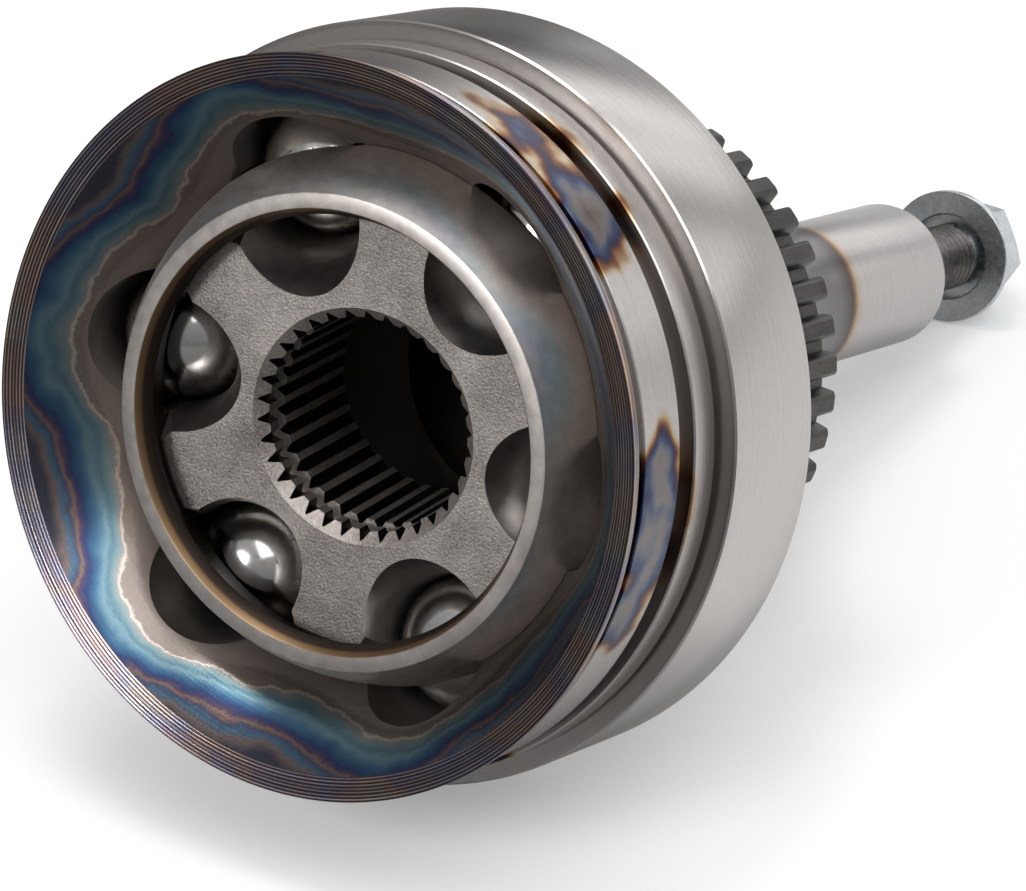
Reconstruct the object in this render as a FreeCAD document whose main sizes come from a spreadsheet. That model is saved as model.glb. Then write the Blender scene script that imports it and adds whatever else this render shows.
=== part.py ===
import FreeCAD, Part
import math
import os
import Sketcher

# Ball-type constant velocity joint: bell, splined race, cage, six balls, tooth ring and hub bolt.
# Millimetres and degrees. Every piece is drawn about the joint centre, where the two shaft axes
# cross, with the bell's axis along +Y (mouth towards -Y, stub towards +Y). A Placement then lays
# it down as it rests: on the rear edge of the drum and on the flange of the hub bolt.

SIZES = {
    # bell, outside, counted from the rim's front face
    "rim_to_centre": 22.8,
    "rim_radius": 46.7,
    "rim_inner_radius": 43.6,
    "rim_slope": 0.9,
    "lip_length": 1.2,
    "lip_groove_radius": 45.2,
    "boot_land_start": 3.8,
    "boot_land_radius": 46.0,
    "boot_groove_start": 12.4,
    "boot_groove_radius": 43.7,
    "rear_land_start": 15.2,
    "rear_land_radius": 46.5,
    "undercut_start": 20.0,
    "undercut_radius": 45.8,
    "drum_start": 21.0,
    "drum_radius": 49.0,
    "drum_end": 41.3,
    "drum_chamfer": 1.0,
    # bell, behind the drum
    "shoulder_start": 58.5,
    "shoulder_radius": 31.0,
    "ring_start": 62.0,
    "ring_length": 14.0,
    "hub_radius": 26.5,
    "hub_end": 77.5,
    "neck_end": 123.0,
    "journal_radius": 10.6,
    "stub_end": 158.0,
    "stub_chamfer": 2.4,
    "hole_depth": 50.0,
    "hole_countersink": 0.9,
    # inside of the bell, counted from the joint centre
    "cage_seat_front": 10.2,
    "cavity_depth": 30.5,
    # balls and their tracks
    "ball_radius": 9.0,
    "ball_circle_radius": 31.75,
    "track_offset": 2.75,
    "track_gap": 0.10,
    "track_mouth_angle": 62.0,
    "track_end_angle": 48.0,
    # cage
    "cage_radius": 35.78,
    "cage_seat_gap": 0.07,
    "cage_half_width": 19.1,
    "cage_race_gap": 0.08,
    "cage_mouth_radius": 28.3,
    "cage_mouth_depth": 2.6,
    "window_half_length": 11.3,
    "window_gap": 0.30,
    "window_corner": 3.0,
    # inner race
    "race_radius": 31.75,
    "race_half_width": 11.9,
    "race_chamfer": 0.5,
    "land_half_width": 5.0,
    "land_corner_height": 5.2,
    "land_corner_width": 2.2,
    "spline_teeth": 34,
    "spline_minor_radius": 13.9,
    "spline_major_radius": 15.0,
    "spline_gap_half": 0.12,
    "spline_flare": 0.60,
    "spline_chamfer": 0.45,
    "snap_groove_start": 3.7,
    "snap_groove_width": 2.0,
    "snap_groove_depth": 0.8,
    # toothed ring
    "ring_teeth": 41,
    "ring_tip_radius": 34.3,
    "ring_tooth_height": 2.4,
    "ring_tooth_width": 2.4,
    "ring_gap_half_root": 0.75,
    "ring_tooth_round": 0.7,
    "ring_seat_gap": 0.02,
    "ring_chamfer": 0.5,
    # hub bolt
    "thread_radius": 5.0,
    "thread_gap": 0.05,
    "bolt_out": 19.5,
    "bolt_length": 45.0,
    "bolt_point": 1.0,
    "flange_radius": 10.13,
    "flange_rim": 1.3,
    "flange_top": 3.4,
    "flange_recess_radius": 6.5,
    "flange_recess_depth": 1.6,
    "hex_across_flats": 15.0,
    "head_height": 9.5,
    "head_chamfer": 0.9,
    # how far a cutter runs past what it cuts
    "past_the_end": 1.0,
    # how the pieces stand
    "articulation": 8.0,
    "track_roll": 26.1,
    "ring_roll": 4.2,
}
BALLS = 6
AXIS = FreeCAD.Vector(0, 1, 0)
CENTRE = FreeCAD.Vector(0, 0, 0)

doc = FreeCAD.newDocument("cv_joint")
sheet = doc.addObject("Spreadsheet::Sheet", "Sizes")
for row, (alias, number) in enumerate(SIZES.items(), start=1):
    sheet.set(f"A{row}", alias)
    sheet.set(f"B{row}", str(number))
    sheet.setAlias(f"B{row}", alias)
doc.recompute()


class Size:
    """A number with the expression that ties it to the spreadsheet."""

    def __init__(self, number, text):
        self.number = float(number)
        self.text = text

    def __add__(self, other):
        other = as_size(other)
        return Size(self.number + other.number, f"({self.text} + {other.text})")

    def __sub__(self, other):
        other = as_size(other)
        return Size(self.number - other.number, f"({self.text} - {other.text})")

    def __mul__(self, other):
        other = as_size(other)
        return Size(self.number * other.number, f"({self.text} * {other.text})")

    def __truediv__(self, other):
        other = as_size(other)
        return Size(self.number / other.number, f"({self.text} / {other.text})")

    def __neg__(self):
        return Size(-self.number, f"(0 - {self.text})")


def as_size(value):
    return value if isinstance(value, Size) else Size(value, f"{value}")


def size(alias):
    return Size(sheet.get(alias), f"Sizes.{alias}")


def root(value):
    return Size(math.sqrt(value.number), f"sqrt({value.text})")


def sine(degrees):
    return Size(math.sin(math.radians(degrees.number)), f"sin({degrees.text} * 1deg)")


def cosine(degrees):
    return Size(math.cos(math.radians(degrees.number)), f"cos({degrees.text} * 1deg)")


def tangent(degrees):
    return Size(math.tan(math.radians(degrees.number)), f"tan({degrees.text} * 1deg)")


def across(radius, along):
    """Height of a circle of that radius, at that distance along its diameter."""
    return root(radius * radius - along * along)


def new_body(label):
    body = doc.addObject("PartDesign::Body", label)
    body.Label = label
    return body


def origin_of(body, role):
    return next(item for item in body.Origin.OriginFeatures if item.Role == role)


def new_sketch(body, name, plane):
    sketch = body.newObject("Sketcher::SketchObject", name)
    sketch.AttachmentSupport = (origin_of(body, plane), "")
    sketch.MapMode = "FlatFace"
    return sketch


def bind(feature, path, value):
    feature.setExpression(path, value.text)


def pin_point(sketch, geometry, end, along, up):
    """Hold one end of an edge at a place given by two sizes."""
    for kind, value in (("DistanceX", along), ("DistanceY", up)):
        index = sketch.addConstraint(Sketcher.Constraint(kind, -1, 1, geometry, end, value.number))
        bind(sketch, f"Constraints[{index}]", value)


def arc_between(start, end, radius, turn):
    """Arc from start to end. turn is 1 when it runs counter-clockwise, -1 when clockwise."""
    chord = end - start
    reach = math.sqrt(max(radius * radius - chord.Length ** 2 / 4, 0.0))
    side = FreeCAD.Vector(-chord.y, chord.x, 0).normalize() * (reach * turn)
    centre = (start + end) * 0.5 + side
    first, last = (start, end) if turn > 0 else (end, start)
    angles = [math.atan2(point.y - centre.y, point.x - centre.x) for point in (first, last)]
    if angles[1] < angles[0]:
        angles[1] += 2 * math.pi
    circle = Part.Circle(centre, FreeCAD.Vector(0, 0, 1), radius)
    return Part.ArcOfCircle(circle, angles[0], angles[1])


def draw_outline(sketch, corners):
    """Closed outline through corners (along, up). A corner with a third and fourth entry is
    reached from the one before by an arc of that radius, turning 1 or -1."""
    corners = [tuple(as_size(value) for value in corner[:3]) + corner[3:] for corner in corners]
    points = [FreeCAD.Vector(corner[0].number, corner[1].number, 0) for corner in corners]
    edges = []
    for index, corner in enumerate(corners):
        start, end = points[index - 1], points[index]
        if len(corner) == 2:
            edges.append((sketch.addGeometry(Part.LineSegment(start, end), False), 1, 2))
            continue
        radius, turn = corner[2], corner[3]
        geometry = sketch.addGeometry(arc_between(start, end, radius.number, turn), False)
        ends = (1, 2) if turn > 0 else (2, 1)
        edges.append((geometry,) + ends)
    for index, (geometry, begin, finish) in enumerate(edges):
        follower, follower_begin, _ = edges[(index + 1) % len(edges)]
        joint = Sketcher.Constraint("Coincident", geometry, finish, follower, follower_begin)
        sketch.addConstraint(joint)
        pin_point(sketch, geometry, finish, corners[index][0], corners[index][1])
    for (geometry, _, _), corner in zip(edges, corners):
        if len(corner) > 2:
            radius = Sketcher.Constraint("Radius", geometry, corner[2].number)
            bind(sketch, f"Constraints[{sketch.addConstraint(radius)}]", corner[2])


def revolve(body, name, corners, kind="PartDesign::Revolution"):
    """Turn an outline of (along the axis, out from the axis) corners once about the body's Y."""
    sketch = new_sketch(body, f"{name}_outline", "YZ_Plane")
    draw_outline(sketch, corners)
    feature = body.newObject(kind, name)
    feature.Profile = sketch
    feature.ReferenceAxis = (sketch, ["H_Axis"])
    feature.Angle = 360
    sketch.Visibility = False
    doc.recompute()
    return feature


def spread_round(body, name, features, count):
    pattern = body.newObject("PartDesign::PolarPattern", name)
    pattern.Originals = features
    pattern.Axis = (origin_of(body, "Y_Axis"), [""])
    pattern.Angle = 360
    pattern.Occurrences = int(round(count.number))
    bind(pattern, "Occurrences", count)
    body.Tip = pattern
    doc.recompute()
    return pattern


def cut(body, sketch, name, length, reverse=False):
    """Pocket of that depth. Into the sketch's back side, or its front side with reverse."""
    before = body.Shape.Volume
    pocket = body.newObject("PartDesign::Pocket", name)
    pocket.Profile = sketch
    pocket.Type = "Length"
    bind(pocket, "Length", length)
    pocket.Reversed = reverse
    sketch.Visibility = False
    doc.recompute()
    if pocket.Shape.Volume >= before:
        raise RuntimeError(f"{name} removes nothing")
    return pocket


def cut_tracks(body, centre):
    """Six round grooves, each swept along an arc about the point that far along the axis."""
    before = body.Shape.Volume
    path_radius = root(size("ball_circle_radius") * size("ball_circle_radius")
                       + size("track_offset") * size("track_offset"))
    track = body.newObject("PartDesign::SubtractiveTorus", "track")
    bind(track, "Radius1", path_radius)
    bind(track, "Radius2", size("ball_radius") + size("track_gap"))
    bind(track, "Angle3", size("track_mouth_angle") + size("track_end_angle"))
    # it lies in the YZ plane and is swept from the mouth's side over +Z towards the stub
    mouth_angle = size("track_mouth_angle")
    start = FreeCAD.Vector(0, -sine(mouth_angle).number, cosine(mouth_angle).number)
    turn = FreeCAD.Rotation(start, FreeCAD.Vector(), FreeCAD.Vector(-1, 0, 0), "ZXY")
    track.Placement = FreeCAD.Placement(FreeCAD.Vector(0, centre.number, 0), turn)
    bind(track, "Placement.Base.y", centre)
    doc.recompute()
    spread_round(body, "tracks", [track], as_size(BALLS))
    if body.Shape.Volume >= before:
        raise RuntimeError("the tracks remove nothing")


def gap_sketch(body, name, side, along):
    """Space between two teeth, the same on both sides of +Z, drawn across the axis at that
    distance along it. side runs from the root outwards as (half width, radius)."""
    sketch = new_sketch(body, name, "XZ_Plane")
    bind(sketch, "AttachmentOffset.Base.z", -along)
    draw_outline(sketch, side + [(-half, radius) for half, radius in reversed(side)])
    doc.recompute()
    return sketch


RIM = size("rim_to_centre")


def along(alias):
    """Distance from the joint centre of a size counted from the rim."""
    return size(alias) - RIM


# --- bell, hub and stub: one forging -------------------------------------------------------
outer_race = new_body("outer_race")
cage_seat = size("cage_radius") + size("cage_seat_gap")
seat_front = -size("cage_seat_front")
cavity = size("cavity_depth")
neck_run = size("neck_end") - size("hub_end")
neck_drop = size("hub_radius") - size("journal_radius")
neck_round = (neck_run * neck_run + neck_drop * neck_drop) / (neck_drop * 2)
stub_end = along("stub_end")
drum_edge = size("drum_radius") - size("drum_chamfer")
revolve(outer_race, "forging", [
    (-RIM + size("rim_slope"), size("rim_inner_radius")),
    (-RIM, size("rim_radius")),
    (size("lip_length") - RIM, size("rim_radius")),
    (size("lip_length") - RIM, size("lip_groove_radius")),
    (along("boot_land_start"), size("lip_groove_radius")),
    (along("boot_land_start"), size("boot_land_radius")),
    (along("boot_groove_start"), size("boot_land_radius")),
    (along("boot_groove_start"), size("boot_groove_radius")),
    (along("rear_land_start"), size("boot_groove_radius")),
    (along("rear_land_start"), size("rear_land_radius")),
    (along("undercut_start"), size("rear_land_radius")),
    (along("undercut_start"), size("undercut_radius")),
    (along("drum_start"), size("undercut_radius")),
    (along("drum_start"), size("drum_radius")),
    (along("drum_end") - size("drum_chamfer"), size("drum_radius")),
    (along("drum_end"), drum_edge),
    (along("shoulder_start"), size("shoulder_radius")),
    (along("ring_start"), size("shoulder_radius")),
    (along("ring_start"), size("hub_radius")),
    (along("hub_end"), size("hub_radius")),
    (along("neck_end"), size("journal_radius"), neck_round, 1),
    (stub_end - size("stub_chamfer"), size("journal_radius")),
    (stub_end, size("journal_radius") - size("stub_chamfer")),
    (stub_end, 0),
    (cavity, 0),
    (cavity, across(cage_seat, cavity)),
    (seat_front, across(cage_seat, seat_front), cage_seat, 1),
])
hole_radius = size("thread_radius") + size("thread_gap")
revolve(outer_race, "bolt_hole", [
    (stub_end - size("hole_depth"), 0),
    (stub_end - size("hole_depth"), hole_radius),
    (stub_end - size("hole_countersink"), hole_radius),
    (stub_end, hole_radius + size("hole_countersink")),
    (stub_end + size("past_the_end"), hole_radius + size("hole_countersink")),
    (stub_end + size("past_the_end"), 0),
], "PartDesign::Groove")
cut_tracks(outer_race, -size("track_offset"))

# --- toothed ring pressed onto the hub -------------------------------------------------------
tone_ring = new_body("tone_ring")
ring_front = along("ring_start")
ring_back = ring_front + size("ring_length")
ring_bore = size("hub_radius") + size("ring_seat_gap")
ring_edge = size("ring_tip_radius") - size("ring_chamfer")
ring_root = size("ring_tip_radius") - size("ring_tooth_height")
tooth_pitch = size("ring_tip_radius") * 2 * math.pi / size("ring_teeth")
gap_half_top = (tooth_pitch - size("ring_tooth_width")) / 2
revolve(tone_ring, "ring_blank", [
    (ring_front, ring_bore),
    (ring_front, ring_edge),
    (ring_front + size("ring_chamfer"), size("ring_tip_radius")),
    (ring_back - size("ring_chamfer"), size("ring_tip_radius")),
    (ring_back, ring_edge),
    (ring_back, ring_bore),
])
tooth_round = size("ring_tooth_round")
past = size("past_the_end")
gap = gap_sketch(tone_ring, "tooth_gap", [
    (size("ring_gap_half_root"), ring_root),
    (gap_half_top - tooth_round / 2, size("ring_tip_radius") - tooth_round),
    (gap_half_top + tooth_round / 2, size("ring_tip_radius")),
    (gap_half_top + tooth_round / 2, size("ring_tip_radius") + past),
], ring_front - past)
first_gap = cut(tone_ring, gap, "tooth_gap_cut", size("ring_length") + past * 2)
spread_round(tone_ring, "teeth", [first_gap], size("ring_teeth"))

# --- cage ----------------------------------------------------------------------------------
cage = new_body("cage")
cage_outside = size("cage_radius")
cage_bore = size("race_radius") + size("cage_race_gap")
half_width = size("cage_half_width")
bore_end = half_width - size("cage_mouth_depth")
revolve(cage, "cage_ring", [
    (-half_width, size("cage_mouth_radius")),
    (-half_width, across(cage_outside, half_width)),
    (half_width, across(cage_outside, half_width), cage_outside, -1),
    (half_width, size("cage_mouth_radius")),
    (bore_end, across(cage_bore, bore_end)),
    (-bore_end, across(cage_bore, bore_end), cage_bore, 1),
])
window = new_sketch(cage, "window_outline", "XY_Plane")
wide = size("window_half_length")
tall = size("ball_radius") + size("window_gap")
corner = size("window_corner")
draw_outline(window, [
    (corner - wide, -tall, corner, 1),
    (wide - corner, -tall),
    (wide, corner - tall, corner, 1),
    (wide, tall - corner),
    (wide - corner, tall, corner, 1),
    (corner - wide, tall),
    (-wide, tall - corner, corner, 1),
    (-wide, corner - tall),
])
doc.recompute()
first_window = cut(cage, window, "window", cage_outside + past, reverse=True)
spread_round(cage, "windows", [first_window], as_size(BALLS))

# --- inner race with its splined bore ----------------------------------------------------------
inner_race = new_body("inner_race")
race = size("race_radius")
race_half = size("race_half_width")
race_edge = across(race, race_half)
minor = size("spline_minor_radius")
major = size("spline_major_radius")
revolve(inner_race, "race_blank", [
    (-race_half, minor),
    (-race_half, race_edge - size("race_chamfer")),
    (size("race_chamfer") - race_half, across(race, race_half - size("race_chamfer"))),
    (race_half - size("race_chamfer"), across(race, race_half - size("race_chamfer")), race, -1),
    (race_half, race_edge - size("race_chamfer")),
    (race_half, minor),
])
inside = minor - past
tooth_space = gap_sketch(inner_race, "spline_space", [
    (size("spline_gap_half"), major),
    (size("spline_gap_half") + (major - inside) * size("spline_flare"), inside),
], -race_half - past)
first_space = cut(inner_race, tooth_space, "spline_space_cut", (race_half + past) * 2)
spread_round(inner_race, "spline", [first_space], size("spline_teeth"))
for name, end, inward in (("front_chamfer", -race_half, 1), ("rear_chamfer", race_half, -1)):
    mouth = major + size("spline_chamfer")
    revolve(inner_race, name, [
        (end, inside),
        (end, mouth),
        (end + (mouth - inside) * inward, inside),
    ], "PartDesign::Groove")
snap_front = size("snap_groove_start") - race_half
snap_radius = major + size("snap_groove_depth")
revolve(inner_race, "snap_groove", [
    (snap_front, inside),
    (snap_front, snap_radius),
    (snap_front + size("snap_groove_width"), snap_radius),
    (snap_front + size("snap_groove_width"), inside),
], "PartDesign::Groove")
cut_tracks(inner_race, size("track_offset"))
# both front corners of each land are bevelled: the cutter runs out of the land as it goes in
land_side = size("land_half_width")
corner_low = race - size("land_corner_height")
corner_run = size("land_corner_width")
for name, hand in (("left_corner", -1), ("right_corner", 1)):
    corner_sketch = new_sketch(inner_race, name, "XZ_Plane")
    bind(corner_sketch, "AttachmentOffset.Base.z", race_half + past)
    # the first track is on +Z, so the land stands 30 degrees round from it
    corner_sketch.AttachmentOffset = FreeCAD.Placement(
        FreeCAD.Vector(0, 0, race_half.number + past.number),
        FreeCAD.Rotation(FreeCAD.Vector(0, 0, 1), 30))
    draw_outline(corner_sketch, [
        ((land_side + corner_run / 2) * hand, corner_low - size("land_corner_height") / 2),
        ((land_side - corner_run) * hand, race),
        ((land_side - corner_run) * hand, race + past),
        ((land_side + size("ball_radius")) * hand, race + past),
        ((land_side + size("ball_radius")) * hand, corner_low - size("land_corner_height") / 2),
    ])
    doc.recompute()
    before = inner_race.Shape.Volume
    bevel = inner_race.newObject("PartDesign::Pocket", f"{name}_cut")
    bevel.Profile = corner_sketch
    bevel.Type = "Length"
    bind(bevel, "Length", race_half)
    bevel.UseCustomVector = True
    slant = FreeCAD.Rotation(AXIS, 30 * -1).multVec(FreeCAD.Vector(0.41 * hand, 1, 0.18))
    bevel.Direction = slant
    corner_sketch.Visibility = False
    doc.recompute()
    if inner_race.Shape.Volume >= before:
        raise RuntimeError(f"{name} removes nothing")
    spread_round(inner_race, f"{name}s", [bevel], as_size(BALLS))

# --- hub bolt: flange, six flats and the shank that carries the thread --------------------------
hub_bolt = new_body("hub_bolt")
under_head = stub_end + size("bolt_out")
head_top = under_head + size("head_height")
tip = under_head - size("bolt_length")
flat = size("hex_across_flats") / 2
hex_corner = flat * 2 / math.sqrt(3)
shank = size("thread_radius")
revolve(hub_bolt, "turned_bolt", [
    (tip, 0),
    (tip, shank - size("bolt_point")),
    (tip + size("bolt_point"), shank),
    (under_head + size("flange_recess_depth"), shank),
    (under_head + size("flange_recess_depth"), size("flange_recess_radius")),
    (under_head, size("flange_recess_radius")),
    (under_head, size("flange_radius")),
    (under_head + size("flange_rim"), size("flange_radius")),
    (under_head + size("flange_top"), hex_corner),
    (head_top - size("head_chamfer"), hex_corner),
    (head_top, hex_corner - size("head_chamfer") * 1.7),
    (head_top, 0),
])
side = new_sketch(hub_bolt, "beyond_flat", "XZ_Plane")
bind(side, "AttachmentOffset.Base.z", -head_top - past)
draw_outline(side, [
    (-hex_corner, flat),
    (hex_corner, flat),
    (hex_corner, flat * 2),
    (-hex_corner, flat * 2),
])
doc.recompute()
first_flat = cut(hub_bolt, side, "first_flat",
                 size("head_height") - size("flange_top") + past, reverse=True)
spread_round(hub_bolt, "flats", [first_flat], as_size(6))

# --- balls ------------------------------------------------------------------------------------
balls = []
for index in range(BALLS):
    ball = doc.addObject("Part::Sphere", f"ball_{index + 1}")
    ball.Label = f"ball_{index + 1}"
    bind(ball, "Radius", size("ball_radius"))
    balls.append(ball)
doc.recompute()

# --- how the pieces stand at rest -----------------------------------------------------------------
def number(alias):
    return float(sheet.get(alias))


def roll(degrees):
    """Turn about the axis, counter-clockwise as seen from the mouth."""
    return FreeCAD.Placement(CENTRE, FreeCAD.Rotation(AXIS, -degrees))


def outward(degrees):
    """Direction across the axis, at that angle from +X towards +Z."""
    angle = math.radians(degrees)
    return FreeCAD.Vector(math.cos(angle), 0, math.sin(angle))


def ball_centre(degrees, articulation, hinge_angle):
    """A ball stays in the plane halfway between the two shafts and in its own pair of tracks."""
    lean = math.tan(math.radians(articulation) / 2)
    climb = math.atan(-lean * math.sin(math.radians(degrees - hinge_angle)))
    offset = number("track_offset")
    circle = number("ball_circle_radius")
    reach = math.sqrt(circle ** 2 + (offset * math.sin(climb)) ** 2) - offset * math.sin(climb)
    return (outward(degrees) * math.cos(climb) + AXIS * math.sin(climb)) * reach


drop = number("drum_radius") - number("flange_radius")
run = (number("stub_end") + number("bolt_out") + number("flange_rim")
       - number("drum_end") + number("drum_chamfer"))
dip = math.degrees(math.atan2(drop, run))
lying = FreeCAD.Placement(CENTRE, FreeCAD.Rotation(FreeCAD.Vector(1, 0, 0), -dip))
tracks_at = number("track_roll")
hinge_angle = tracks_at + 30
lean_axis = outward(hinge_angle)
lean = number("articulation")
race_lean = FreeCAD.Placement(CENTRE, FreeCAD.Rotation(lean_axis, lean))
cage_lean = FreeCAD.Placement(CENTRE, FreeCAD.Rotation(lean_axis, lean / 2))
outer_race.Placement = lying * roll(tracks_at)
tone_ring.Placement = lying * roll(number("ring_roll"))
cage.Placement = lying * cage_lean * roll(tracks_at)
inner_race.Placement = lying * race_lean * roll(tracks_at)
hub_bolt.Placement = lying
for index, ball in enumerate(balls):
    place = ball_centre(90 + tracks_at + 60 * index, lean, hinge_angle)
    ball.Placement = FreeCAD.Placement(lying.multVec(place), lying.Rotation)
doc.recompute()

pieces = [outer_race, tone_ring, cage, inner_race, hub_bolt] + balls
for item in doc.Objects:
    if "Invalid" in item.State or "Error" in item.State:
        raise RuntimeError(f"{item.Name} did not build: {item.State}")
os.makedirs("parts", exist_ok=True)
for piece in pieces:
    shape = piece.Shape
    if shape.isNull() or not shape.isValid() or len(shape.Solids) != 1:
        raise RuntimeError(f"{piece.Label} is not one sound solid")
    shape.exportStep(f"parts/{piece.Label}.step")
    print(piece.Label, round(shape.Volume / 1000, 3), "cm3")
print("dip", round(dip, 4))
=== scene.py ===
import math

import bmesh
import bpy
from mathutils import Matrix, Vector


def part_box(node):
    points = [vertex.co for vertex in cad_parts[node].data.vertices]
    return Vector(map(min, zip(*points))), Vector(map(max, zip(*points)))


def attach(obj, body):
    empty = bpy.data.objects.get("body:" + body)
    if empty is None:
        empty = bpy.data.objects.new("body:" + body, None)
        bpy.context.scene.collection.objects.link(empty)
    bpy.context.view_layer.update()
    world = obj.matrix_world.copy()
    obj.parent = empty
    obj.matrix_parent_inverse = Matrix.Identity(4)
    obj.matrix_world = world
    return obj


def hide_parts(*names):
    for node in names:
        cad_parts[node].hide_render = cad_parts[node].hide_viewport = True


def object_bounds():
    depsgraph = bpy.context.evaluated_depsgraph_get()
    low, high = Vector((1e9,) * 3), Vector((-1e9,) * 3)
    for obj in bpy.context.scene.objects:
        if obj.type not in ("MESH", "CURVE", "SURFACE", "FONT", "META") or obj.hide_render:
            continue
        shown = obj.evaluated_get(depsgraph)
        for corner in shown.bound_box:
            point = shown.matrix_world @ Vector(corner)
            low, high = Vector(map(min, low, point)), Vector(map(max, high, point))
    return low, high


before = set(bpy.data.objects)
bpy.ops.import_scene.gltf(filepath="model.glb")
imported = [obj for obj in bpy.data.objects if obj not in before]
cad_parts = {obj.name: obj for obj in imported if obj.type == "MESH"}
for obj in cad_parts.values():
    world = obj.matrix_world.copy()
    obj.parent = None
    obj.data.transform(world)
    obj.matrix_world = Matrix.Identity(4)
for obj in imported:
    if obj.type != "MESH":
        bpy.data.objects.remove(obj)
cad_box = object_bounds()

# Sizes in millimetres. Every piece is turned about the bell's own axis, Y, with the joint centre
# at 0 and the mouth towards -Y, and is then laid down by LYING, as the frame has it.
TRACKS = 6

# bell, from its rim back: drum, tapered back, hub, neck and stub
RIM = -22.8
RIM_BORE = 43.6
RIM_EDGE = 46.7
RIM_DISH = 0.9
LIP = 1.2
DRUM = 49.0
DRUM_END = RIM + 41.3
BACK_TAPER = 0.988
SHOULDER = 31.0
SHOULDER_END = RIM + 62.0
HUB = 26.5
HUB_END = RIM + 77.5
NECK_END = RIM + 123.0
STUB = 10.6
STUB_END = 135.2
HOLE = 5.05
HOLE_DEPTH = 50.0
CAVITY = 30.5

# balls and the tracks they run in
BALL = 9.0
BALL_CIRCLE = 31.75
TRACK_OFFSET = 2.75
TRACK = BALL + 0.1
TRACK_ARC = math.hypot(BALL_CIRCLE, TRACK_OFFSET)

# cage and race: radii of their spheres, and half their widths
CAGE_SEAT = 35.85
CAGE_SEAT_FRONT = 10.2
CAGE = 35.78
CAGE_BORE = 31.83
CAGE_BORE_HALF = 16.5
CAGE_HALF = 19.1
CAGE_MOUTH = 28.4
RACE = 31.75
RACE_HALF = 11.9
SPLINE_TEETH = 34
SPLINE_MINOR = 13.9
SPLINE_MAJOR = 15.0
SPLINE_FLARE = 1.55

# toothed ring
RING_TEETH = 41
RING_TOOTH = 2.4
RING_BORE = 26.52
RING_TIP = 34.3
RING_CHAMFER = 0.5
RING_END = RIM + 76.0

# flange bolt, M10 x 1.5
BOLT_OUT = 19.5
BOLT_LENGTH = 45.0
UNDER_HEAD = STUB_END + BOLT_OUT
UNDER_FLANGE = UNDER_HEAD + 0.05
FLANGE = 10.13
HEAD_TOP = UNDER_HEAD + 9.5
HEX_CORNER = 8.66
HEX_FLAT = 7.5
PITCH = 1.5
TURNS = 29
THREAD_CREST = 4.99
THREAD_ROOT = 4.1

# how the pieces stand, in degrees
TRACK_ROLL = 26.1
RING_ROLL = 4.2
ARTICULATION = 8.0
HALF_TRACK_ANGLE = 180 / TRACKS

# The joint rests on two edges, the drum's and the flange's, this far behind the rim
DRUM_REST = 40.3
FLANGE_REST = 178.8
DIP = math.atan2(DRUM - FLANGE, FLANGE_REST - DRUM_REST)
LYING = Matrix.Rotation(-DIP, 4, "X")
MILLIMETRE = Matrix.Scale(0.001, 4)


def roll(degrees):
    """Turn about the axis, counter-clockwise as seen from the mouth."""
    return Matrix.Rotation(-math.radians(degrees), 4, "Y")


def lean(degrees):
    """Tilt about the line through two opposite tracks."""
    angle = math.radians(TRACK_ROLL + HALF_TRACK_ANGLE)
    hinge = Vector((math.cos(angle), 0, math.sin(angle)))
    return Matrix.Rotation(math.radians(degrees), 4, hinge)


def across(radius, along):
    """Height of a circle of that radius, that far along its diameter."""
    return math.sqrt(radius ** 2 - along ** 2)


# --- shaping --------------------------------------------------------------------------------

def lathe(moves, steps=240):
    """Turned shape. Each move is a corner (along, radius), or an arc from the last corner:
    (along, radius, degrees, steps) with the arc's centre first."""
    bm = bmesh.new()
    first = last = None
    for move in moves:
        if len(move) == 2:
            corner = bm.verts.new((0, move[0], move[1]))
            if last:
                bm.edges.new((last, corner))
            last = corner
        else:
            swept = bmesh.ops.spin(bm, geom=[last], cent=(0, move[0], move[1]), axis=(1, 0, 0),
                                   angle=math.radians(move[2]), steps=move[3], use_merge=False)
            last = next(g for g in swept["geom_last"] if isinstance(g, bmesh.types.BMVert))
        first = first or last
    bm.edges.new((last, first))
    bmesh.ops.remove_doubles(bm, verts=bm.verts[:], dist=1e-4)
    bmesh.ops.spin(bm, geom=bm.verts[:] + bm.edges[:], cent=(0, 0, 0), axis=(0, 1, 0),
                   angle=2 * math.pi, steps=steps, use_merge=True)
    bmesh.ops.remove_doubles(bm, verts=bm.verts[:], dist=1e-4)
    bmesh.ops.recalc_face_normals(bm, faces=bm.faces[:])
    return bm


def repeat_round(bm, count):
    """The shape and its copies, evenly spaced about the axis."""
    bmesh.ops.spin(bm, geom=bm.verts[:] + bm.edges[:] + bm.faces[:], cent=(0, 0, 0),
                   axis=(0, 1, 0), angle=2 * math.pi * (count - 1) / count, steps=count - 1,
                   use_merge=False, use_duplicate=True)
    bmesh.ops.recalc_face_normals(bm, faces=bm.faces[:])
    return bm


def track_tool(centre, radius, start, end, steps=72):
    """Round bars, one for each track, each bent about the point that far along the axis, from
    one angle to the other."""
    bm = bmesh.new()
    ring = bmesh.ops.create_circle(bm, cap_ends=True, radius=radius, segments=56)
    bmesh.ops.rotate(bm, verts=ring["verts"], cent=(0, 0, 0),
                     matrix=Matrix.Rotation(math.radians(90), 3, "X"))
    bmesh.ops.translate(bm, verts=ring["verts"], vec=(0, centre, TRACK_ARC))
    bmesh.ops.rotate(bm, verts=ring["verts"], cent=(0, centre, 0),
                     matrix=Matrix.Rotation(-math.radians(start), 3, "X"))
    bmesh.ops.spin(bm, geom=bm.verts[:] + bm.edges[:] + bm.faces[:], cent=(0, centre, 0),
                   axis=(1, 0, 0), angle=-math.radians(end - start), steps=steps,
                   use_merge=False)
    bmesh.ops.recalc_face_normals(bm, faces=bm.faces[:])
    return repeat_round(bm, TRACKS)


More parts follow.
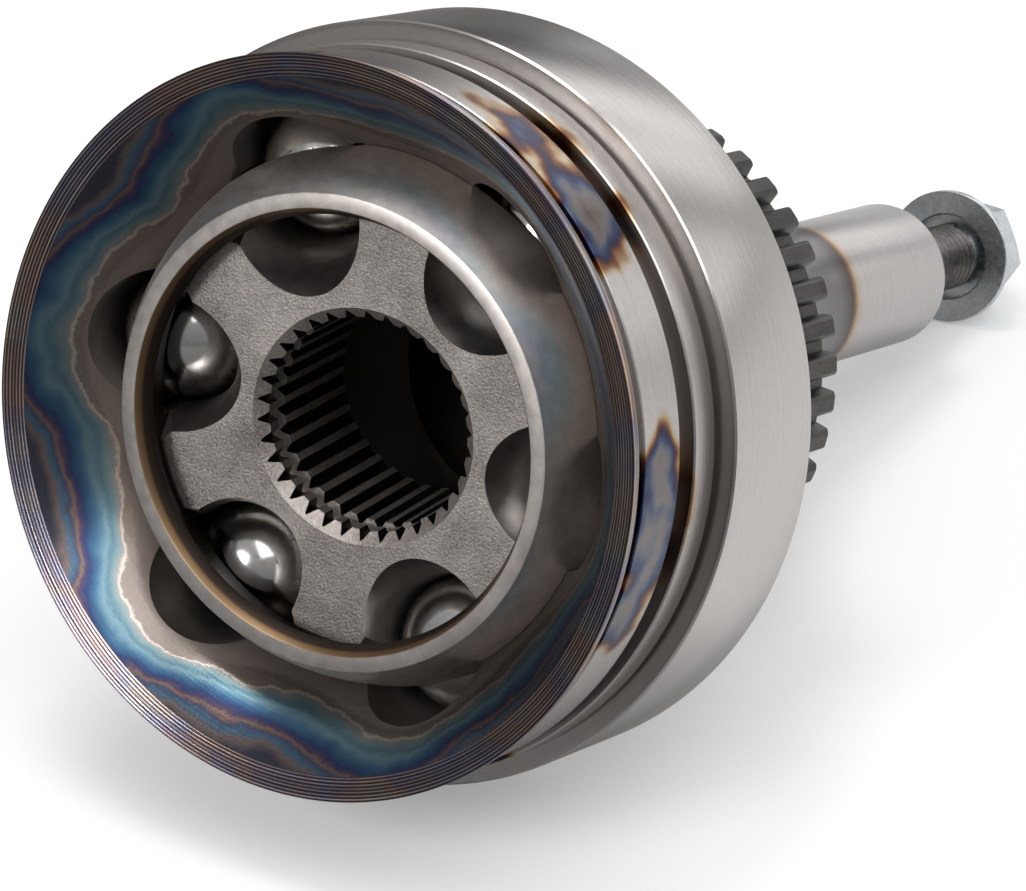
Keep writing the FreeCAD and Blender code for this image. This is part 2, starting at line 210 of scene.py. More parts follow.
def prism_tool(corners, start, end, count, slant=(0, 0), turn=0):
    """Bar with that outline (across, out), repeated about the axis. It may lean across and out
    as it goes along, and stand turned by some degrees."""
    bm = bmesh.new()
    face = bm.faces.new([bm.verts.new((x, start, z)) for x, z in corners])
    grown = bmesh.ops.extrude_face_region(bm, geom=[face])
    ends = [g for g in grown["geom"] if isinstance(g, bmesh.types.BMVert)]
    run = end - start
    bmesh.ops.translate(bm, verts=ends, vec=(slant[0] * run, run, slant[1] * run))
    bmesh.ops.rotate(bm, verts=bm.verts[:], cent=(0, 0, 0),
                     matrix=Matrix.Rotation(-math.radians(turn), 3, "Y"))
    bmesh.ops.recalc_face_normals(bm, faces=bm.faces[:])
    return repeat_round(bm, count)


def window_tool(half_length, half_width, corner, low, high):
    """Round-cornered bars pointing outwards from low to high, for the cage's windows."""
    bm = bmesh.new()
    bmesh.ops.create_cube(bm, size=1)
    bmesh.ops.scale(bm, verts=bm.verts[:], vec=(2 * half_length, 2 * half_width, high - low))
    bmesh.ops.translate(bm, verts=bm.verts[:], vec=(0, 0, (high + low) / 2))
    outward = [e for e in bm.edges if abs(e.verts[0].co.z - e.verts[1].co.z) > 1]
    bmesh.ops.bevel(bm, geom=outward, offset=corner, segments=7, affect="EDGES", profile=0.5,
                    material=-1)
    return repeat_round(bm, TRACKS)


def to_object(bm, name, *finishes):
    """Makes the shape an object that has those finishes."""
    mesh = bpy.data.meshes.new(name)
    bm.to_mesh(mesh)
    bm.free()
    for finish in finishes:
        mesh.materials.append(finish)
    item = bpy.data.objects.new(name, mesh)
    bpy.context.scene.collection.objects.link(item)
    return item


def cut(item, tool, *finish):
    """Takes the tool's shape out of the piece, and leaves the finish given on what it cut."""
    cutter = to_object(tool, f"{item.name}_tool", *finish)
    change = item.modifiers.new("cut", "BOOLEAN")
    change.operation = "DIFFERENCE"
    change.solver = "EXACT"
    change.material_mode = "TRANSFER"
    change.object = cutter
    graph = bpy.context.evaluated_depsgraph_get()
    shaped = bpy.data.meshes.new_from_object(item.evaluated_get(graph))
    item.modifiers.clear()
    item.data = shaped
    bpy.data.objects.remove(cutter)


def finish_piece(item, placement, body, nodes=(), sharp=32):
    """Puts the piece in its place, smooths what is round, and ties it to its body. Edges
    sharper than some degrees stay crisp."""
    item.data.transform(MILLIMETRE @ placement)
    item.data.shade_smooth()
    item.data.set_sharp_from_angle(angle=math.radians(sharp))
    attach(item, body)
    if nodes:
        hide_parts(*nodes)


# --- finishes -------------------------------------------------------------------------------

def colour(text):
    """Linear colour from an sRGB hex value."""
    parts = [int(text[i:i + 2], 16) / 255 for i in (1, 3, 5)]
    linear = [c / 12.92 if c <= 0.04045 else ((c + 0.055) / 1.055) ** 2.4 for c in parts]
    return (*linear, 1.0)


def fill_ramp(ramp, stops):
    """Gives a colour ramp its stops, each a place and a linear colour."""
    for place, tint in stops[2:]:
        ramp.elements.new(place)
    for element, (place, tint) in zip(ramp.elements, stops):
        element.position = place
        element.color = tint


def add(tree, kind, joined=(), stops=(), **settings):
    """Adds a node with its settings. joined gives its inputs, each a node, a socket or a value,
    in order or by name; stops are a ramp's places and colours."""
    item = tree.nodes.new(f"ShaderNode{kind}")
    for key, value in settings.items():
        setattr(item, key, value)
    pairs = joined.items() if isinstance(joined, dict) else enumerate(joined)
    for key, value in pairs:
        if isinstance(value, bpy.types.Node):
            value = value.outputs[0]
        if isinstance(value, bpy.types.NodeSocket):
            tree.links.new(value, item.inputs[key])
        else:
            item.inputs[key].default_value = value
    if stops:
        fill_ramp(item.color_ramp, [(place, colour(text)) for place, text in stops])
    return item


# where a Mix node takes its two colours and gives the mixed one
FIRST, SECOND, MIXED = 6, 7, 2


def empty_tree(owner):
    """The owner's node tree, with nothing in it yet."""
    owner.use_nodes = True
    owner.node_tree.nodes.clear()
    return owner.node_tree


def new_metal(name):
    """A metal's material, its tree, and its shader, which is joined to the output."""
    material = bpy.data.materials.new(name)
    tree = empty_tree(material)
    shader = add(tree, "BsdfPrincipled", {"Metallic": 1.0})
    add(tree, "OutputMaterial", [shader])
    return material, tree, shader


def bell_point(tree):
    """The point in the bell's own frame, in millimetres."""
    return add(tree, "Mapping", {
        "Vector": add(tree, "TexCoord").outputs["Object"],
        "Rotation": (DIP, 0, 0),
        "Scale": (1000, 1000, 1000)})


def turned_places(tree, spot):
    """The point's radius, its distance along the bell's axis and its angle about it."""
    x, along, z = add(tree, "SeparateXYZ", [spot]).outputs
    flat = add(tree, "CombineXYZ", [x, 0.0, z])
    radius = add(tree, "VectorMath", [flat], operation="LENGTH").outputs["Value"]
    angle = add(tree, "Math", [z, x], operation="ARCTAN2")
    return radius, along, angle


# Turned, ground and induction-hardened forging: bright cut steel with fine lathe lines, whose
# oxide runs through straw, brown, purple and blue where the heat came through the wall.
OXIDE = [(0.0, "#bab5b2"), (0.1, "#b3a188"), (0.19, "#8a6140"), (0.26, "#54352e"),
         (0.33, "#2a2844"), (0.41, "#354262"), (0.49, "#5d616e"), (0.58, "#75706f"),
         (0.72, "#6f6561"), (0.84, "#54433f"), (0.92, "#3c4060"), (1.0, "#5a6674")]
# The stub was heated from the bell's side: dull grey-blue, a brown line, then bare ground steel.
STUB_TINT = [(0.0, "#757173"), (0.3, "#605b5d"), (0.46, "#55443f"), (0.56, "#86664c"),
             (0.68, "#b9a78e"), (0.82, "#bab4b0"), (1.0, "#bab6b4")]
# Inside the mouth the scale is thicker: teal next to the bare metal, then navy and brown.
# The ramp runs outwards from the bare metal, over SCALE_RUN.
MOUTH = [(0.0, "#7e756f"), (0.035, "#b5aca3"), (0.07, "#858381"), (0.13, "#6f8286"),
         (0.22, "#55707b"), (0.3, "#67818c"), (0.42, "#3f6079"), (0.55, "#333f62"),
         (0.62, "#50455a"), (0.67, "#776158"), (0.72, "#4a4e63"), (0.8, "#4a6479"),
         (0.88, "#6e625f"), (1.0, "#43434e")]
# The rim's face: dark scale, and bright rings where the last cut broke through it
RIM_CUT = [(0.0, "#4a464a"), (0.45, "#736c6b"), (0.7, "#9d9693"), (1.0, "#ddd7d1")]
RIM_HUE = [(0.34, "#8f8985"), (0.42, "#a0764c"), (0.48, "#6b4f7c"), (0.53, "#4a659a"),
           (0.6, "#94908c"), (0.68, "#a57f55")]
# In millimetres: spacing of the lathe lines and of the rim's rings (the real feed is finer, and
# wouldn't show), mean radius of the scale's inner edge, how far that waves at the tracks, and
# how wide the scale runs
LATHE_LINES = 0.4
RIM_RINGS = 0.42
SCALE_EDGE = 37.9
SCALE_WAVE = 1.7
SCALE_RUN = 6.5


def bell_zones(tree, radius, along):
    """Masks for the inside of the bell and for the face of its rim."""
    behind = add(tree, "Math", [
        add(tree, "Math", [along, DRUM_END], operation="SUBTRACT"), 0.0], operation="MAXIMUM")
    # the tapered back counts as if it were as wide as the drum
    wall = add(tree, "Math", [behind, BACK_TAPER, radius], operation="MULTIPLY_ADD")
    inside = add(tree, "Math", [
        add(tree, "Math", [wall, RIM_BORE + 0.02], operation="LESS_THAN"),
        add(tree, "Math", [along, CAVITY + 0.2], operation="LESS_THAN")], operation="MULTIPLY")
    on_rim = add(tree, "Math", [
        add(tree, "Math", [radius, RIM_BORE + 0.02], operation="GREATER_THAN"),
        add(tree, "Math", [along, RIM + LIP - 0.05], operation="LESS_THAN")],
        operation="MULTIPLY")
    return inside, on_rim


def mouth_scale(tree, radius, along, wave, cloud, speck):
    """How far out from the scale's inner edge a point lies, and the tint it has inside, with
    painted shade that darkens it deeper in.
    """
    border = add(tree, "Math", [wave, SCALE_WAVE, SCALE_EDGE], operation="MULTIPLY_ADD")
    ragged = add(tree, "Math", [speck, 0.9, radius], operation="MULTIPLY_ADD")
    outwards = add(tree, "Math", [ragged, border], operation="SUBTRACT")
    # the bands of colour drift by a few millimetres, but the edge itself stays
    drift = add(tree, "Math", [cloud, 7.0, -4.25], operation="MULTIPLY_ADD")
    scaled = add(tree, "Math", [outwards, 0.0], operation="GREATER_THAN")
    band = add(tree, "Math", [outwards, add(tree, "Math", [drift, scaled],
                                            operation="MULTIPLY")], operation="ADD")
    place = add(tree, "MapRange", {"Value": band, "From Min": 0.0, "From Max": SCALE_RUN})
    # painted shade: the tint darkens deeper in, so the cage's seat and the bottom are dark
    painted_deep_shade = add(tree, "MapRange", {"Value": along, "From Min": -8.0, "From Max": 22.0,
                                  "To Min": 1.0, "To Max": 0.15})
    tint = add(tree, "Mix", {
        FIRST: add(tree, "ValToRGB", [place], MOUTH),
        SECOND: add(tree, "CombineXYZ", [painted_deep_shade, painted_deep_shade, painted_deep_shade]),
        "Factor": 1.0}, data_type="RGBA", blend_type="MULTIPLY")
    return outwards, tint.outputs[MIXED]


def outer_tint(tree, along, wave, cloud):
    """Outside, rings of colour stand round the places where the tracks thin the wall, strongest
    between the lip and the drum, and a brown line runs round the stub."""
    from_middle = add(tree, "Math", [
        add(tree, "Math", [along, RIM + 7.5], operation="SUBTRACT")], operation="ABSOLUTE")
    heat = add(tree, "Math", [from_middle, -0.055, 0.0], operation="MULTIPLY_ADD")
    heat = add(tree, "Math", [wave, 0.42, heat], operation="MULTIPLY_ADD")
    heat = add(tree, "Math", [cloud, 2.6, heat], operation="MULTIPLY_ADD")
    heat = add(tree, "Math", [heat, 1.22], operation="SUBTRACT")
    down_stub = add(tree, "MapRange", {
        "Value": add(tree, "Math", [cloud, 1.5, along], operation="MULTIPLY_ADD"),
        "From Min": 100.5, "From Max": 108.5})
    tint = add(tree, "Mix", {
        "Factor": add(tree, "Math", [along, 60.0], operation="GREATER_THAN"),
        FIRST: add(tree, "ValToRGB", [heat], OXIDE),
        SECOND: add(tree, "ValToRGB", [down_stub], STUB_TINT)}, data_type="RGBA")
    return tint.outputs[MIXED]


def rim_face(tree, radius, feed, cloud):
    """The rim's turned rings, as a height, and the tint they have."""
    rings = add(tree, "Math", [
        add(tree, "Math", [radius, 2 * math.pi / RIM_RINGS], operation="MULTIPLY")],
        operation="SINE")
    streak = add(tree, "MapRange", {
        "Value": add(tree, "Math", [feed, 2.4, rings], operation="MULTIPLY_ADD"),
        "From Min": 0.4, "From Max": 2.6})
    tint = add(tree, "Mix", {
        FIRST: add(tree, "ValToRGB", [streak], RIM_CUT),
        SECOND: add(tree, "ValToRGB", [cloud], RIM_HUE),
        "Factor": 0.5}, data_type="RGBA", blend_type="OVERLAY")
    return rings, tint.outputs[MIXED]


def turned_forging():
    """The bell's own steel, whose finish depends on where on the bell it is."""
    material, tree, shader = new_metal("turned_hardened_steel")
    spot = bell_point(tree)
    radius, along, angle = turned_places(tree, spot)
    lines = add(tree, "CombineXYZ", [
        add(tree, "Math", [radius, 1 / LATHE_LINES], operation="MULTIPLY"),
        add(tree, "Math", [along, 1 / LATHE_LINES], operation="MULTIPLY"),
        add(tree, "Math", [angle, 0.5], operation="MULTIPLY")])
    feed = add(tree, "TexNoise", {"Vector": lines, "Scale": 1.0, "Detail": 4.0,
                                  "Roughness": 0.6})
    # heat drifts over about 18 mm, and specks of scale are under a millimetre
    cloud = add(tree, "TexNoise", {"Vector": spot, "Scale": 0.055, "Detail": 3.0,
                                   "Roughness": 0.55})
    speck = add(tree, "TexNoise", {"Vector": spot, "Scale": 1.3, "Detail": 5.0,
                                   "Roughness": 0.7})
    # the heat's wave round the bell, highest at each track
    from_track = add(tree, "Math", [angle, math.radians(90 + TRACK_ROLL)],
                     operation="SUBTRACT")
    wave = add(tree, "Math", [
        add(tree, "Math", [from_track, float(TRACKS)], operation="MULTIPLY")],
        operation="COSINE")
    inside, on_rim = bell_zones(tree, radius, along)
    outwards, mouth = mouth_scale(tree, radius, along, wave, cloud, speck)
    rings, rim = rim_face(tree, radius, feed, cloud)
    skin = add(tree, "Mix", {"Factor": inside, FIRST: outer_tint(tree, along, wave, cloud),
                             SECOND: mouth}, data_type="RGBA")
    skin = add(tree, "Mix", {"Factor": on_rim, FIRST: skin.outputs[MIXED], SECOND: rim},
               data_type="RGBA")
    # lines and specks lighten and darken all of it a little
    shade = add(tree, "Math", [
        feed, 0.28, add(tree, "Math", [speck, 0.26, 0.73], operation="MULTIPLY_ADD")],
        operation="MULTIPLY_ADD")
    base = add(tree, "Mix", {
        FIRST: skin.outputs[MIXED],
        SECOND: add(tree, "CombineXYZ", [shade, shade, shade]),
        "Factor": 1.0}, data_type="RGBA", blend_type="MULTIPLY")
    tree.links.new(base.outputs[MIXED], shader.inputs["Base Color"])
    # the drum is the smoothest, and the bare metal inside the mouth the roughest
    rough = add(tree, "MapRange", {"Value": radius, "From Min": 48.0, "From Max": 48.6,
                                   "To Min": 0.27, "To Max": 0.19})
    bare = add(tree, "Math", [
        add(tree, "MapRange", {"Value": outwards, "From Min": 0.2, "From Max": -0.4}), inside],
        operation="MULTIPLY")
    rough = add(tree, "Math", [bare, 0.2, rough], operation="MULTIPLY_ADD")
    tree.links.new(rough.outputs[0], shader.inputs["Roughness"])
    relief = add(tree, "Math", [
        rings, add(tree, "Math", [on_rim, 0.35], operation="MULTIPLY"), feed],
        operation="MULTIPLY_ADD")
    bump = add(tree, "Bump", {"Strength": 0.18, "Distance": 0.0001, "Height": relief})
    tree.links.new(bump.outputs[0], shader.inputs["Normal"])
    return material


# How much of the cage's wall, from its bore outwards, has the bore's own finish, in millimetres
CAGE_INNER = 2.5


def mottled_metal(name, dark, pale, smooth, rough, grain, relief, rust=0.0, inner=()):
    """Metal whose tone drifts over centimetres, with a grain of that size in millimetres. Inner
    is the ramp of the cage's bore and chamfer, which lie inside its outer skin."""
    material, tree, shader = new_metal(name)
    spot = bell_point(tree)
    cloud = add(tree, "TexNoise", {"Vector": spot, "Scale": 0.12, "Detail": 6.0,
                                   "Roughness": 0.65})
    grit = add(tree, "TexNoise", {"Vector": spot, "Scale": 1 / grain, "Detail": 3.0,
                                  "Roughness": 0.6})
    both = add(tree, "Math", [
        grit, 0.5, add(tree, "Math", [cloud, 0.5], operation="MULTIPLY")],
        operation="MULTIPLY_ADD")
    tone = add(tree, "ValToRGB", [both], [(0.36, dark), (0.64, pale)]).outputs[0]
    if rust:
        spots = add(tree, "TexNoise", {"Vector": spot, "Scale": 0.9, "Detail": 2.0})
        amount = add(tree, "MapRange", {"Value": spots, "From Min": 0.69, "From Max": 0.74,
                                        "To Max": rust})
        tone = add(tree, "Mix", {"Factor": amount, FIRST: tone, SECOND: colour("#6b3d22")},
                   data_type="RGBA").outputs[MIXED]
    if inner:
        from_centre = add(tree, "VectorMath", [spot], operation="LENGTH").outputs["Value"]
        depth = add(tree, "MapRange", {"Value": from_centre, "From Min": CAGE_BORE,
                                       "From Max": CAGE_BORE + CAGE_INNER})
        within = add(tree, "MapRange", {"Value": from_centre,
                                        "From Min": CAGE_BORE + CAGE_INNER,
                                        "From Max": CAGE_BORE + CAGE_INNER - 0.2})
        tone = add(tree, "Mix", {"Factor": within, FIRST: tone,
                                 SECOND: add(tree, "ValToRGB", [depth], inner)},
                   data_type="RGBA").outputs[MIXED]
    tree.links.new(tone, shader.inputs["Base Color"])
    sheen = add(tree, "Math", [grit, rough - smooth, smooth], operation="MULTIPLY_ADD")
    tree.links.new(sheen.outputs[0], shader.inputs["Roughness"])
    bump = add(tree, "Bump", {"Strength": relief, "Distance": 0.0001, "Height": grit})
    tree.links.new(bump.outputs[0], shader.inputs["Normal"])
    return material


forging = turned_forging()
# Ground ball tracks: even satin grey, with no lines to see
track_finish = mottled_metal("ground_ball_track", "#9a948f", "#b5afaa", 0.3, 0.44, 2.5, 0.01)
# Hobbed ring: dark steel that the slanting cutter marks make dull
ring_finish = mottled_metal("hobbed_dark_steel", "#363231", "#565251", 0.3, 0.5, 0.5, 0.35)
# Ground and hardened cage: smooth grey outside, brown with oil in its bore and windows
cage_finish = mottled_metal("ground_cage_steel", "#bab3ae", "#d3ccc7", 0.36, 0.5, 1.6, 0.05,
                            inner=[(0.05, "#36302c"), (0.5, "#463b33"), (0.62, "#7a6249"),
                                   (0.9, "#8b7256")])
# Race: shot-blasted face, matte and sandy
race_finish = mottled_metal("blasted_race_steel", "#8b847f", "#cdc5bf", 0.42, 0.6, 0.3, 1.0)
# Broached spline: fresh-cut but deep and oily
spline_finish = mottled_metal("broached_spline", "#3b3836", "#565250", 0.24, 0.4, 0.6, 0.12)
# Bearing balls: polished, with a few specks of rust
ball_finish = mottled_metal("polished_bearing_steel", "#c2c1c0", "#d2d1d0", 0.12, 0.2, 1.5,
                            0.02, rust=0.8)
# Zinc plating: pale, cool and satin
zinc_finish = mottled_metal("bright_zinc_plating", "#bcc1c4", "#d4d7da", 0.2, 0.34, 1.2, 0.05)
# Rolled thread: bright on its crests, dull where the plating is thin
thread_finish = mottled_metal("rolled_thread", "#484545", "#726e6d", 0.22, 0.4, 0.6, 0.1)

# --- bell, hub and stub ----------------------------------------------------------------------
neck_run = NECK_END - HUB_END
neck_drop = HUB - STUB
neck_round = (neck_run ** 2 + neck_drop ** 2) / (2 * neck_drop)
neck_sweep = math.degrees(math.asin(neck_run / neck_round))
seat_sweep = (math.degrees(math.asin(CAVITY / CAGE_SEAT))
              + math.degrees(math.asin(CAGE_SEAT_FRONT / CAGE_SEAT)))
rim_lines = []
for share in (0.0, 0.07, 0.19, 0.26, 0.4, 0.47, 0.6, 0.66, 0.79, 0.9):
    # fine turned rings across the rim's dished face, unevenly spaced
    along = RIM + RIM_DISH * (1 - share)
    radius = RIM_BORE + (RIM_EDGE - RIM_BORE) * share
    rim_lines += [(along, radius), (along - 0.05, radius + 0.09)]
bell = to_object(lathe(rim_lines + [
    # lip, boot land with its groove, rear land
    (RIM + 0.12, RIM_EDGE - 0.08), (RIM + 0.25, RIM_EDGE), (RIM + LIP, RIM_EDGE),
    (RIM + 1.25, 45.3), (RIM + 3.75, 45.3),
    (RIM + 3.8, 45.85), (RIM + 4.0, 46.0), (RIM + 12.2, 46.0), (RIM + 12.4, 45.8),
    (RIM + 12.45, 43.7), (RIM + 15.15, 43.7),
    (RIM + 15.2, 46.3), (RIM + 15.4, 46.5), (RIM + 19.9, 46.5),
    # drum
    (RIM + 20.0, 45.8), (RIM + 20.95, 45.8),
    (RIM + 21.0, DRUM - 0.25), (RIM + 21.25, DRUM), (RIM + 40.3, DRUM),
    (RIM + 40.45, DRUM - 0.05), (DRUM_END, DRUM - 1.0),
    # back, hub and neck
    (RIM + 58.5, SHOULDER), (SHOULDER_END, SHOULDER), (SHOULDER_END, HUB), (HUB_END, HUB),
    (NECK_END, STUB + neck_round, neck_sweep, 28),
    # stub and its blind hole
    (STUB_END - 2.6, STUB), (STUB_END - 2.0, STUB - 0.15), (STUB_END - 0.3, STUB - 1.6),
    (STUB_END, STUB - 2.4),
    (STUB_END, HOLE + 0.9), (STUB_END - 0.9, HOLE), (STUB_END - HOLE_DEPTH, HOLE),
    (STUB_END - HOLE_DEPTH, 0.0),
    # cavity, and the sphere that the cage turns in
    (CAVITY, 0.0), (CAVITY, across(CAGE_SEAT, CAVITY)),
    (0, 0, seat_sweep, 40),
], steps=288), "bell", forging)
cut(bell, track_tool(-TRACK_OFFSET, TRACK, -45, 48), track_finish)
finish_piece(bell, LYING @ roll(TRACK_ROLL), "housing", ["outer_race"])

# --- toothed ring ----------------------------------------------------------------------------
ring = to_object(lathe([
    (SHOULDER_END, RING_BORE), (SHOULDER_END, RING_TIP - RING_CHAMFER),
    (SHOULDER_END + RING_CHAMFER, RING_TIP), (RING_END - RING_CHAMFER, RING_TIP),
    (RING_END, RING_TIP - RING_CHAMFER), (RING_END, RING_BORE),
], steps=6 * RING_TEETH), "toothed_ring", ring_finish)
half_gap = (2 * math.pi * RING_TIP / RING_TEETH - RING_TOOTH) / 2
tooth_gap = [(0.75, RING_TIP - 2.4), (half_gap - 0.35, RING_TIP - 0.7),
             (half_gap - 0.08, RING_TIP - 0.3), (half_gap + 0.4, RING_TIP),
             (half_gap + 0.4, RING_TIP + 1.0)]
cut(ring, prism_tool(tooth_gap + [(-x, z) for x, z in reversed(tooth_gap)],
                     SHOULDER_END - 1.0, RING_END + 1.0, RING_TEETH))
finish_piece(ring, LYING @ roll(RING_ROLL), "housing", ["tone_ring"])

# --- cage -------------------------------------------------------------------------------------
outside_sweep = 2 * math.degrees(math.asin(CAGE_HALF / CAGE))
bore_sweep = 2 * math.degrees(math.asin(CAGE_BORE_HALF / CAGE_BORE))
bore_edge = across(CAGE_BORE, CAGE_BORE_HALF)
cage = to_object(lathe([
    (-CAGE_BORE_HALF, bore_edge), (-CAGE_HALF + 0.15, CAGE_MOUTH - 0.15),
    (-CAGE_HALF, CAGE_MOUTH), (-CAGE_HALF, across(CAGE, CAGE_HALF) - 0.15),
    (-CAGE_HALF + 0.1, across(CAGE, CAGE_HALF - 0.1)),
    (-CAGE_HALF + 0.1001, across(CAGE, CAGE_HALF - 0.1001)),
    (0, 0, -(outside_sweep - 0.36), 44),
    (CAGE_HALF, across(CAGE, CAGE_HALF) - 0.15), (CAGE_HALF, CAGE_MOUTH),
    (CAGE_HALF - 0.15, CAGE_MOUTH - 0.15), (CAGE_BORE_HALF, bore_edge),
    (0, 0, bore_sweep, 40),
], steps=240), "ball_cage", cage_finish)
cut(cage, window_tool(11.3, BALL + 0.3, 3.0, 20.0, 45.0))
finish_piece(cage, LYING @ lean(ARTICULATION / 2) @ roll(TRACK_ROLL), "cage",
             ["cage"])

# --- inner race -------------------------------------------------------------------------------
race_edge = across(RACE, RACE_HALF)
race_sweep = 2 * math.degrees(math.asin((RACE_HALF - 0.5) / RACE))
race = to_object(lathe([
    # front face, spherical lands, rear face
    (-RACE_HALF, SPLINE_MINOR + SPLINE_FLARE), (-RACE_HALF, race_edge - 0.5),
    (0.5 - RACE_HALF, across(RACE, RACE_HALF - 0.5)),
    (0, 0, -race_sweep, 32),
    (RACE_HALF, race_edge - 0.5), (RACE_HALF, SPLINE_MINOR + SPLINE_FLARE),
    # bore, with the groove for the shaft's snap ring
    (RACE_HALF - SPLINE_FLARE, SPLINE_MINOR),
    (5.7 - RACE_HALF, SPLINE_MINOR), (5.7 - RACE_HALF, 15.8), (3.7 - RACE_HALF, 15.8),
    (3.7 - RACE_HALF, SPLINE_MINOR), (SPLINE_FLARE - RACE_HALF, SPLINE_MINOR),
], steps=8 * SPLINE_TEETH), "splined_race", race_finish)
cut(race, track_tool(TRACK_OFFSET, TRACK, -45, 45), track_finish)
cut(race, prism_tool([(-0.12, SPLINE_MAJOR), (0.12, SPLINE_MAJOR),
                      (1.38, SPLINE_MINOR - 1.0), (-1.38, SPLINE_MINOR - 1.0)],
                     -RACE_HALF - 1, RACE_HALF + 1, SPLINE_TEETH), spline_finish)
# both front corners of each land between the tracks are bevelled
for hand in (-1, 1):
    corner = [(6.1, RACE - 7.8), (2.8, RACE), (2.8, RACE + 1.0), (14.0, RACE + 1.0),
              (14.0, RACE - 7.8)]
    cut(race, prism_tool([(x * hand, z) for x, z in corner], -RACE_HALF - 1, 0.0, TRACKS,
                         slant=(0.41 * hand, 0.18), turn=HALF_TRACK_ANGLE))
finish_piece(race, LYING @ lean(ARTICULATION) @ roll(TRACK_ROLL), "inner",
             ["inner_race"])

# --- balls ------------------------------------------------------------------------------------
for number in range(1, TRACKS + 1):
    name = f"ball_{number}"
    low, high = (Vector(corner) * 1000 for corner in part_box(name))
    bm = bmesh.new()
    bmesh.ops.create_uvsphere(bm, u_segments=96, v_segments=48, radius=BALL)
    bmesh.ops.translate(bm, verts=bm.verts[:], vec=(low + high) / 2)
    piece = to_object(bm, f"bearing_{name}", ball_finish)
    finish_piece(piece, Matrix.Identity(4), name, [name])

# --- hub bolt ---------------------------------------------------------------------------------
bolt = to_object(lathe([
    # point and shank, a little under the thread's root
    (UNDER_HEAD - BOLT_LENGTH, 0.0), (UNDER_HEAD - BOLT_LENGTH, 3.6),
    (UNDER_HEAD - BOLT_LENGTH + 0.5, THREAD_ROOT + 0.02),
    # recess under the flange, then the flange
    (UNDER_HEAD + 1.6, THREAD_ROOT + 0.02), (UNDER_HEAD + 1.6, 6.4), (UNDER_HEAD + 0.2, 6.5),
    (UNDER_FLANGE, 6.7), (UNDER_FLANGE, FLANGE - 0.13), (UNDER_HEAD + 0.2, FLANGE),
    (UNDER_HEAD + 1.15, FLANGE), (UNDER_HEAD + 1.35, FLANGE - 0.13),
    # head, as wide as its corners
    (UNDER_HEAD + 3.4, HEX_CORNER), (HEAD_TOP - 0.9, HEX_CORNER),
    (HEAD_TOP, 7.1), (HEAD_TOP, 0.0),
], steps=144), "flange_bolt", zinc_finish)
cut(bolt, prism_tool([(-9.0, HEX_FLAT), (9.0, HEX_FLAT), (9.0, 13.0), (-9.0, 13.0)],
                     UNDER_HEAD + 3.4, HEAD_TOP + 1.5, 6))
finish_piece(bolt, LYING, "bolt", ["hub_bolt"])

# the thread: one pitch of its profile, wound along the shank
TURN_STEPS = 40
bm = bmesh.new()
crest = [bm.verts.new((0, UNDER_HEAD - 44.0 + along, radius)) for along, radius in
         ((0.0, THREAD_CREST), (0.2, THREAD_CREST), (0.75, THREAD_ROOT), (0.95, THREAD_ROOT),
          (PITCH, THREAD_CREST))]
for before, after in zip(crest, crest[1:]):
    bm.edges.new((before, after))
bmesh.ops.spin(bm, geom=bm.verts[:] + bm.edges[:], cent=(0, 0, 0), axis=(0, 1, 0),
               dvec=(0, PITCH / TURN_STEPS, 0), angle=2 * math.pi * TURNS,
               steps=TURN_STEPS * TURNS, use_merge=False)
bmesh.ops.remove_doubles(bm, verts=bm.verts[:], dist=1e-3)
bmesh.ops.recalc_face_normals(bm, faces=bm.faces[:])
thread = to_object(bm, "bolt_thread", thread_finish)
finish_piece(thread, LYING, "bolt", sharp=25)

# --- floor, light and camera --------------------------------------------------------------------
lowest = cad_box[0][2]
bm = bmesh.new()
bmesh.ops.create_grid(bm, x_segments=1, y_segments=1, size=6.0)
bmesh.ops.translate(bm, verts=bm.verts[:], vec=(0, 0, lowest))
# The table is white, and glows a little for the camera alone. Bright metal sees it shaded in
# front and to the left, where the room is darker.
table = bpy.data.materials.new("white_table")
tree = empty_tree(table)
paths = add(tree, "LightPath").outputs
spot = add(tree, "TexCoord").outputs["Object"]
rightwards = add(tree, "VectorMath", [spot, (1.0, 0.45, 0)], operation="DOT_PRODUCT")
backwards = add(tree, "SeparateXYZ", [spot]).outputs["Y"]
nearer = add(tree, "Math", [rightwards.outputs["Value"], backwards], operation="MINIMUM")
shaded = add(tree, "MapRange", {"Value": nearer, "From Min": -0.05, "From Max": 0.04,
                                "To Min": 0.2, "To Max": 0.8})
tone = add(tree, "Mix", {"Factor": paths["Is Glossy Ray"], "A": 0.97, "B": shaded})
matt = add(tree, "BsdfDiffuse", [add(tree, "CombineXYZ", [tone, tone, tone])])
glow = add(tree, "Emission", [colour("#ffffff"), 1.0])
glowing = add(tree, "Math", [paths["Is Camera Ray"], 0.28], operation="MULTIPLY")
add(tree, "OutputMaterial", [add(tree, "MixShader", [glowing, matt, glow])])
floor = to_object(bm, "floor", table)

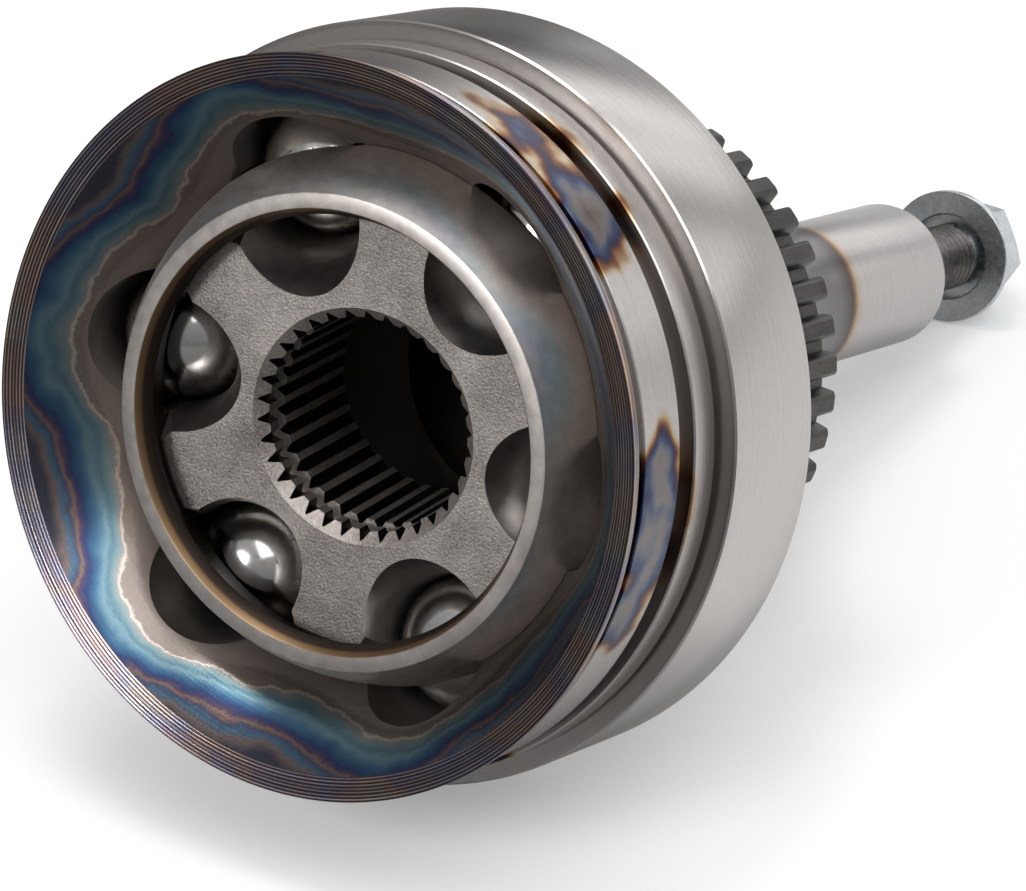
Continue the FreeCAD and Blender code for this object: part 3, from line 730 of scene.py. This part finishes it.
# The room round the bell's axis: a window behind it with a bar across, a white wall to the
# right, and dark on the left and on the side it is seen from, so that round metal shows both.
# Each stop is a share of the way round and a brightness.
WINDOW = [(0.0, 0.20), (0.5, 0.75), (0.60, 0.80), (0.645, 0.72), (0.68, 0.34), (0.712, 0.62),
          (0.742, 1.0), (0.77, 0.72), (0.80, 1.0), (0.828, 0.95), (0.855, 0.45), (0.88, 0.14),
          (0.915, 0.07), (0.95, 0.06), (1.0, 0.08)]
world = bpy.data.worlds.new("studio")
bpy.context.scene.world = world
tree = empty_tree(world)
sight = add(tree, "Mapping", {"Vector": add(tree, "TexCoord").outputs["Generated"],
                              "Rotation": (DIP, 0, 0)})
x, y, z = add(tree, "SeparateXYZ", [sight]).outputs
turn = add(tree, "MapRange", {"Value": add(tree, "Math", [z, x], operation="ARCTAN2"),
                              "From Min": -math.pi, "From Max": math.pi})
panes = add(tree, "ValToRGB", [turn])
fill_ramp(panes.color_ramp, [(place, (level, level, level, 1)) for place, level in WINDOW])
rear = add(tree, "Math", [panes, 1.45], operation="MULTIPLY")
front = add(tree, "MapRange", {"Value": z, "From Min": -0.3, "From Max": 1.0,
                               "To Min": 0.22, "To Max": 0.5})
side = add(tree, "MapRange", {"Value": y, "From Min": -0.15, "From Max": 0.3})
room = add(tree, "Mix", {"Factor": side, "A": front, "B": rear})
# seen directly, the room is plain white
paths = add(tree, "LightPath").outputs
seen = add(tree, "Math", [paths["Is Camera Ray"], paths["Is Transmission Ray"]],
           operation="MAXIMUM")
strength = add(tree, "Mix", {"Factor": seen, "A": room, "B": 1.0})
add(tree, "OutputWorld", [add(tree, "Background", [colour("#ffffff"), strength])])

# square softboxes aimed at the joint: place and width in metres, and watts
for name, place, width, watts in (
        ("overhead", (-0.17, -0.01, 1.1), 0.36, 3.2),
        ("high_right", (0.5, -0.35, 1.0), 0.8, 5.0),
        ("beside_camera", (-0.13, -1.03, 0.6), 0.34, 6.0)):
    light = bpy.data.lights.new(name, "AREA")
    light.shape = "RECTANGLE"
    light.size = light.size_y = width
    light.energy = watts
    lamp = bpy.data.objects.new(name, light)
    lamp.location = place
    lamp.rotation_euler = (-Vector(place)).to_track_quat("-Z", "Y").to_euler()
    bpy.context.scene.collection.objects.link(lamp)

camera = bpy.data.cameras.new("camera")
camera.sensor_width = 36
camera.lens = 171.12
camera.clip_start = 0.01
eye = bpy.data.objects.new("camera", camera)
stand = Matrix.Translation((0.305540, -0.451575, 0.293668))
forward = Vector((-0.472576, 0.737959, -0.481756))
right = Vector((0.842125, 0.539282, 0.0))
facing = Matrix((right, right.cross(forward), -forward)).transposed()
eye.matrix_world = stand @ facing.to_4x4()
bpy.context.scene.collection.objects.link(eye)
bpy.context.scene.camera = eye
bpy.context.scene.view_settings.view_transform = "Standard"
